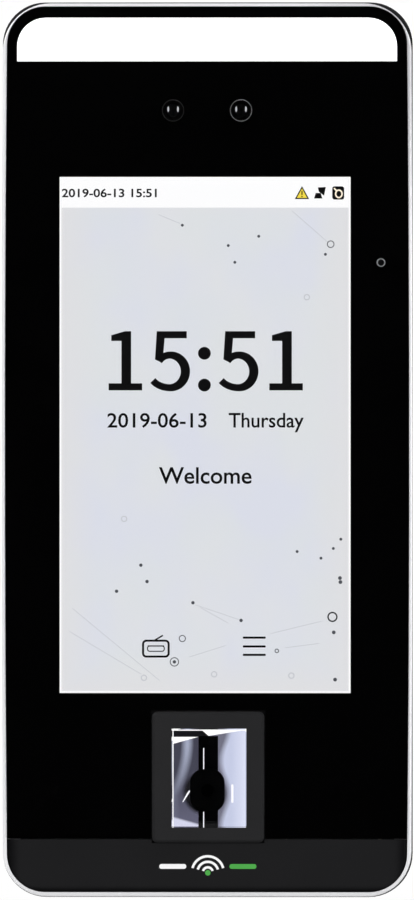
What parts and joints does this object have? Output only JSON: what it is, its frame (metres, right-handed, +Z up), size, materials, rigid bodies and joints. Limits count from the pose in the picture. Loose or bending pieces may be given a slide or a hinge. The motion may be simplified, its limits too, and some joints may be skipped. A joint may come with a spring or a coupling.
{
  "type": "fingerprint scanner terminal",
  "caption": "Wall-mounted access terminal with a tall touch screen, cameras, a light bar and a fingerprint reader, which lifts off a steel wall plate.",
  "frame": {"origin": "centre of the wall plate's back face, level with the middle of the terminal's height", "axes": "+Z up along the terminal's height, +Y into the wall, front faces -Y, +X to the right seen from the front"},
  "size_m": [0.093, 0.0233, 0.203],
  "materials": {
    "black_plastic": "fine moulded texture",
    "charcoal_plastic": "satin",
    "bezel_plastic": "satin",
    "silver_frame": "fine bead blast",
    "cover_glass": "polished",
    "black_print": "printed",
    "screen": "lit screen",
    "light_bar": "opal, lit",
    "optical_glass": "polished",
    "light_guide": "opal, lit",
    "lens_glass": "coated, seen as black",
    "lens_black": "anodised look",
    "zinc_steel": "zinc plated",
    "screw_steel": "nickel plated",
    "tin_plate": "tinned",
    "gold_contacts": "gold flash",
    "circuit_board": "solder mask",
    "chip_black": "epoxy",
    "flex_amber": "polyimide",
    "white_plastic": "nylon",
    "relay_blue": "moulded",
    "rubber_black": "matt",
    "rubber_grey": "matt",
    "foam_black": "closed cell foam"
  },
  "bodies": {
    "wall_bracket": {"wall_plate": "zinc_steel"},
    "tamper_plunger": {"tamper_plunger": "white_plastic"},
    "reset_button": {"reset_button": "bezel_plastic"},
    "usb_flap": {"usb_flap": "rubber_black"},
    "terminal": {"rear_housing": "black_plastic", "housing_seal": "rubber_black", "housing_screws": "screw_steel", "lock_screw": "screw_steel", "mid_frame": "silver_frame", "cover_glass": "cover_glass", "ink_mask": "black_print", "glass_gasket": "foam_black", "chin_cover": "charcoal_plastic", "light_diffuser": "light_bar", "light_board": "circuit_board", "light_leds": "light_bar", "camera_board": "circuit_board", "camera_barrel_left": "lens_black", "camera_barrel_right": "lens_black", "camera_lens_left": "lens_glass", "camera_lens_right": "lens_glass", "infrared_leds": "optical_glass", "backlight_frame": "zinc_steel", "backlight_guide": "white_plastic", "lcd_panel": "screen", "display_flex": "flex_amber", "inner_chassis": "zinc_steel", "chassis_screws": "screw_steel", "main_board": "circuit_board", "board_screws": "screw_steel", "board_chips": "chip_black", "processor_shield": "tin_plate", "battery_holder": "chip_black", "clock_battery": "tin_plate", "door_relay": "relay_blue", "ethernet_jack": "tin_plate", "jack_contacts": "gold_contacts", "wiring_headers": "white_plastic", "header_pins": "gold_contacts", "tamper_switch": "chip_black", "speaker": "chip_black", "speaker_gasket": "foam_black", "microphone": "chip_black", "microphone_boot": "rubber_grey", "port_board": "circuit_board", "usb_port": "tin_plate", "reset_switch": "chip_black", "port_flex": "flex_amber", "fingerprint_bezel": "bezel_plastic", "fingerprint_prism": "optical_glass", "fingerprint_seal": "rubber_black", "fingerprint_case": "lens_black", "fingerprint_light_guide": "light_guide", "fingerprint_barrel": "lens_black", "fingerprint_lens": "lens_glass", "fingerprint_board": "circuit_board", "fingerprint_chip": "chip_black", "fingerprint_flex": "flex_amber", "card_antenna": "circuit_board", "camera_flex": "flex_amber"}
  },
  "joints": [
    {"name": "terminal_lift", "type": "slide", "parent": "wall_bracket", "child": "terminal", "axis": [0, 0, 1], "range_m": [0, 0.007]},
    {"name": "tamper_press", "type": "slide", "parent": "terminal", "child": "tamper_plunger", "axis": [0, -1, 0], "range_m": [0, 0.0008], "stiffness_N_per_m": 400, "springref_m": -0.0008},
    {"name": "reset_press", "type": "slide", "parent": "terminal", "child": "reset_button", "axis": [0, 0, 1], "range_m": [0, 0.0004], "stiffness_N_per_m": 1500, "springref_m": -0.0003},
    {"name": "usb_flap_hinge", "type": "hinge", "parent": "terminal", "child": "usb_flap", "pos_m": [-0.028, -0.005, -0.101], "axis": [1, 0, 0], "range_deg": [0, 95]}
  ]
}
